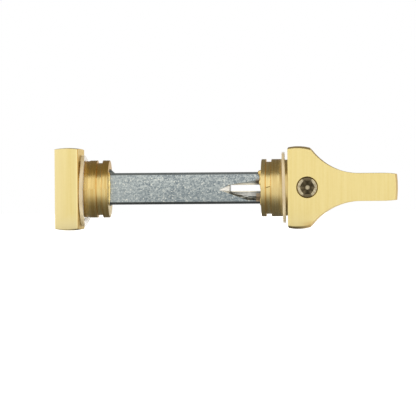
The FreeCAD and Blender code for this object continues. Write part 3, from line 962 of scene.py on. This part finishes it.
def makeSetScrew():
    # The outline runs from the drill's spot up the hexagon socket, over the top, down the thread and
    # the cone to the point: (depth below the top, radius, share of the hexagon). The thread is a
    # helix: its radius is root + (crest - root) ridge(phase), with phase = depth / pitch - angle / 2 pi.
    look = setScrew
    angle = roundTurn(look["pointsAround"])[None, :]
    key, keyDepth, crest, root = look["keyHalf"], look["keyDepth"], look["crest"], look["root"]
    spot, spotDepth, chamfer = look["spotRadius"], look["spotDepth"], look["chamfer"]
    sink, follow, soft = look["countersink"], look["sinkHexagon"], look["round"]
    length, cone = look["tip"] - look["top"], crest - look["tipRadius"]
    coneStart, topEdge = length - cone, crest - chamfer
    section = [(spotDepth + 1.5 * soft, look["spotPoint"], 0), (spotDepth, spot - 3 * soft, 0),
               (spotDepth - 2 * soft, spot, 0), (keyDepth, key - 3 * soft, 0.5),
               (keyDepth - 3 * soft, key, 1), (sink + 2 * soft, key, 1),
               (sink, key + soft / 2, 1), (soft, key + sink, follow),
               (0, key + sink + 2 * soft, follow), (0, topEdge - soft, 0), (soft, topEdge + 2 * soft, 0),
               (chamfer, crest - soft, 0)]
    depth, radius, hexagon = (np.array(column, dtype=float)[:, None] for column in zip(*section))
    head = (1 - hexagon) * radius + hexagon * hexagonReach(angle, radius)
    threadDepth = np.linspace(chamfer + soft, coneStart, look["threadRings"])[:, None]
    phase = (threadDepth / look["pitch"] - angle / (2 * np.pi)) % 1
    ridge = np.clip(look["ridgeTop"] - np.abs(phase - 0.5) * look["ridgeSlope"], 0, 1)
    fade = np.clip((coneStart - threadDepth) / look["runOut"], 0, 1)
    thread = root + (crest - root) * (1 - fade * (1 - ridge))
    drop = cone * np.linspace(look["coneFrom"], 1, look["coneRings"])[:, None]
    tailDepth = np.vstack([coneStart + drop, [[length]]])
    tailRadius = np.vstack([crest - drop, [[look["tipPoint"]]]])
    allDepth = np.vstack([depth, threadDepth, tailDepth]) + 0 * angle
    allRadius = np.vstack([head, thread, tailRadius + 0 * angle])
    rings = np.stack([look["x"] + allRadius * np.cos(angle), look["top"] + allDepth,
                      allRadius * np.sin(angle)], axis=-1)
    poles = np.array([[look["x"], look["top"] + spotDepth + 2 * soft, 0],
                      [look["x"], look["tip"] + soft, 0]])
    piece = skinRings("setScrew", rings, steel, poles=poles)
    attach(piece, "set_screw")
    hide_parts("set_screw")


makeSetScrew()
print("set screw cut")


# stage: floor, world, lamp and camera

stageLook = {
    "floorMm": -10.45,           # the heads rest on the crests of their lower ends
    "floorColour": (0.9, 0.9, 0.9, 1.0),
    "floorInMetal": (0.08, 0.08, 0.08, 1.0),
    "floorUnder": 0.12,
    "floorCamera": 0.86,
    "floorGlossy": 0.72,
    "floorHalf": 3.0,
    "floorRoughness": 0.9,
    "floorSpecular": 0.1,
    "frontFromMm": -5.0,         # under the object the floor's reflection is dim, a painted shadow; in front it clears soon
    "frontToMm": -28.0,
    "backFromMm": 8.0,
    "backToMm": 60.0,
    "rightFromMm": 28.0,
    "rightToMm": 34.0,
    "leftFromMm": -25.0,
    "leftToMm": -36.0,
    "leftShare": 0.6,
    "worldPlain": 0.8,           # what matt surfaces are lit by; metal mirrors the dimmer room below
    "worldDim": 0.21,
    "worldSides": 0.7,
    "worldBack": 0.62,
    "sideFacing": (0.35, 0.8),   # where the pale sides and the strip behind begin, in shares of the view
    "sideUp": (0.62, 0.95),
    "backFacing": (0.8, 0.95),
    "backUp": (0.08, 0.2),
    "roomColour": (1.0, 0.95, 0.88, 1.0),
    "lampRadiance": 0.88,
    "lampWidth": 3.2,
    "lampHeight": 1.2,
    "lampDistance": 0.9,
    "lampX": 0.03,
}


def makeFloor():
    look = stageLook
    half, level = look["floorHalf"], look["floorMm"] * mm
    mesh = bpy.data.meshes.new("floor")
    corners = [(-half, -half, level), (half, -half, level), (half, half, level), (-half, half, level)]
    mesh.from_pydata(corners, [], [(0, 1, 2, 3)])
    floor = bpy.data.objects.new("floor", mesh)
    scene.collection.objects.link(floor)
    material, tree, shader = newMaterial("paleFloor")
    shader.inputs["Roughness"].default_value = look["floorRoughness"]
    shader.inputs["Specular IOR Level"].default_value = look["floorSpecular"]
    place, x, y, z = placeInMm(tree)
    path = put(tree, "LightPath").outputs
    connect(tree, mixColour(tree, path["Is Glossy Ray"], look["floorColour"], look["floorInMetal"]),
            shader.inputs["Base Color"])
    # in reflections the floor glows, with a painted shadow under and behind the object that clears in front
    # and to the sides
    front = near(tree, y, look["frontToMm"], look["frontFromMm"])
    clear = maths(tree, "ADD", front, ramp(tree, y, look["backFromMm"], look["backToMm"]))
    clear = maths(tree, "MAXIMUM", clear, ramp(tree, x, look["rightFromMm"], look["rightToMm"]))
    left = ramp(tree, x, look["leftFromMm"], look["leftToMm"], 0.0, look["leftShare"])
    clear = maths(tree, "MAXIMUM", clear, left)
    seen = maths(tree, "MAXIMUM", path["Is Camera Ray"], path["Is Transmission Ray"])
    mirrored = maths(tree, "MULTIPLY_ADD", clear, look["floorGlossy"], look["floorUnder"])
    reflected = times(tree, path["Is Glossy Ray"], mirrored)
    strength = maths(tree, "MULTIPLY_ADD", seen, look["floorCamera"], reflected)
    glow = put(tree, "Emission", None, Color=(1, 1, 1, 1), Strength=strength)
    both = put(tree, "AddShader", None, i0=shader.outputs[0], i1=glow.outputs[0])
    connect(tree, both.outputs[0], tree.nodes["Material Output"].inputs["Surface"])
    mesh.materials.append(material)


def makeWorld():
    # white where the camera looks past the object; a dim room with pale sides in reflections
    look = stageLook
    world = bpy.data.worlds.new("studio")
    scene.world = world
    world.use_nodes = True
    tree = world.node_tree
    path = put(tree, "LightPath").outputs
    direction = put(tree, "SeparateXYZ", None, Vector=put(tree, "TexCoord").outputs["Generated"]).outputs
    up = away(tree, direction[2])
    sides = times(tree, ramp(tree, away(tree, direction[0]), *look["sideFacing"]),
                  near(tree, up, *look["sideUp"]))
    back = times(tree, ramp(tree, direction[1], *look["backFacing"]), near(tree, up, *look["backUp"]))
    room = maths(tree, "MULTIPLY_ADD", sides, look["worldSides"], look["worldDim"])
    room = maths(tree, "MULTIPLY_ADD", back, look["worldBack"], room)
    seen = maths(tree, "MAXIMUM", path["Is Camera Ray"], path["Is Transmission Ray"])
    room = put(tree, "Mix", {"data_type": "FLOAT"}, i0=path["Is Glossy Ray"], i2=look["worldPlain"],
               i3=room).outputs[0]
    strength = put(tree, "Mix", {"data_type": "FLOAT"}, i0=seen, i2=room, i3=1.0).outputs[0]
    background = tree.nodes["Background"]
    connect(tree, mixColour(tree, seen, look["roomColour"], (1, 1, 1, 1)), background.inputs["Color"])
    connect(tree, strength, background.inputs["Strength"])


def makeLamp():
    look = stageLook
    data = bpy.data.lights.new("softFront", "AREA")
    data.shape = "RECTANGLE"
    data.size = look["lampWidth"]
    data.size_y = look["lampHeight"]
    data.energy = look["lampRadiance"] * math.pi * look["lampWidth"] * look["lampHeight"]
    lamp = bpy.data.objects.new("softFront", data)
    scene.collection.objects.link(lamp)
    lamp.location = (look["lampX"], -look["lampDistance"], look["lampHeight"] / 2)
    lamp.rotation_euler = (math.radians(90), 0, 0)
    lamp.visible_camera = False


cameraLook = {
    "place": (0.0686, -0.960, -0.0050),
    "aim": (0.0058, 0.0, -0.0050),
    "widthAtAim": 0.1053,        # the photo's width where the spindle is
    "roll": -0.42,               # degrees; the spindle rises a little towards the turn
    "sensorMm": 36,
    "clip": (0.01, 20),
}


def makeCamera():
    look = cameraLook
    data = bpy.data.cameras.new("photoCamera")
    camera = bpy.data.objects.new("photoCamera", data)
    scene.collection.objects.link(camera)
    place = Vector(look["place"])
    towards = Vector(look["aim"]) - place
    turn = towards.to_track_quat("-Z", "Y").to_matrix().to_4x4()
    roll = Matrix.Rotation(math.radians(look["roll"]), 4, "Z")
    camera.matrix_world = Matrix.Translation(place) @ turn @ roll
    data.sensor_width = look["sensorMm"]
    data.lens = look["sensorMm"] * towards.length / look["widthAtAim"]
    data.clip_start, data.clip_end = look["clip"]
    scene.camera = camera


makeFloor()
makeWorld()
makeLamp()
makeCamera()
scene.view_settings.view_transform = "Standard"
print("stage, lamp and camera in place")
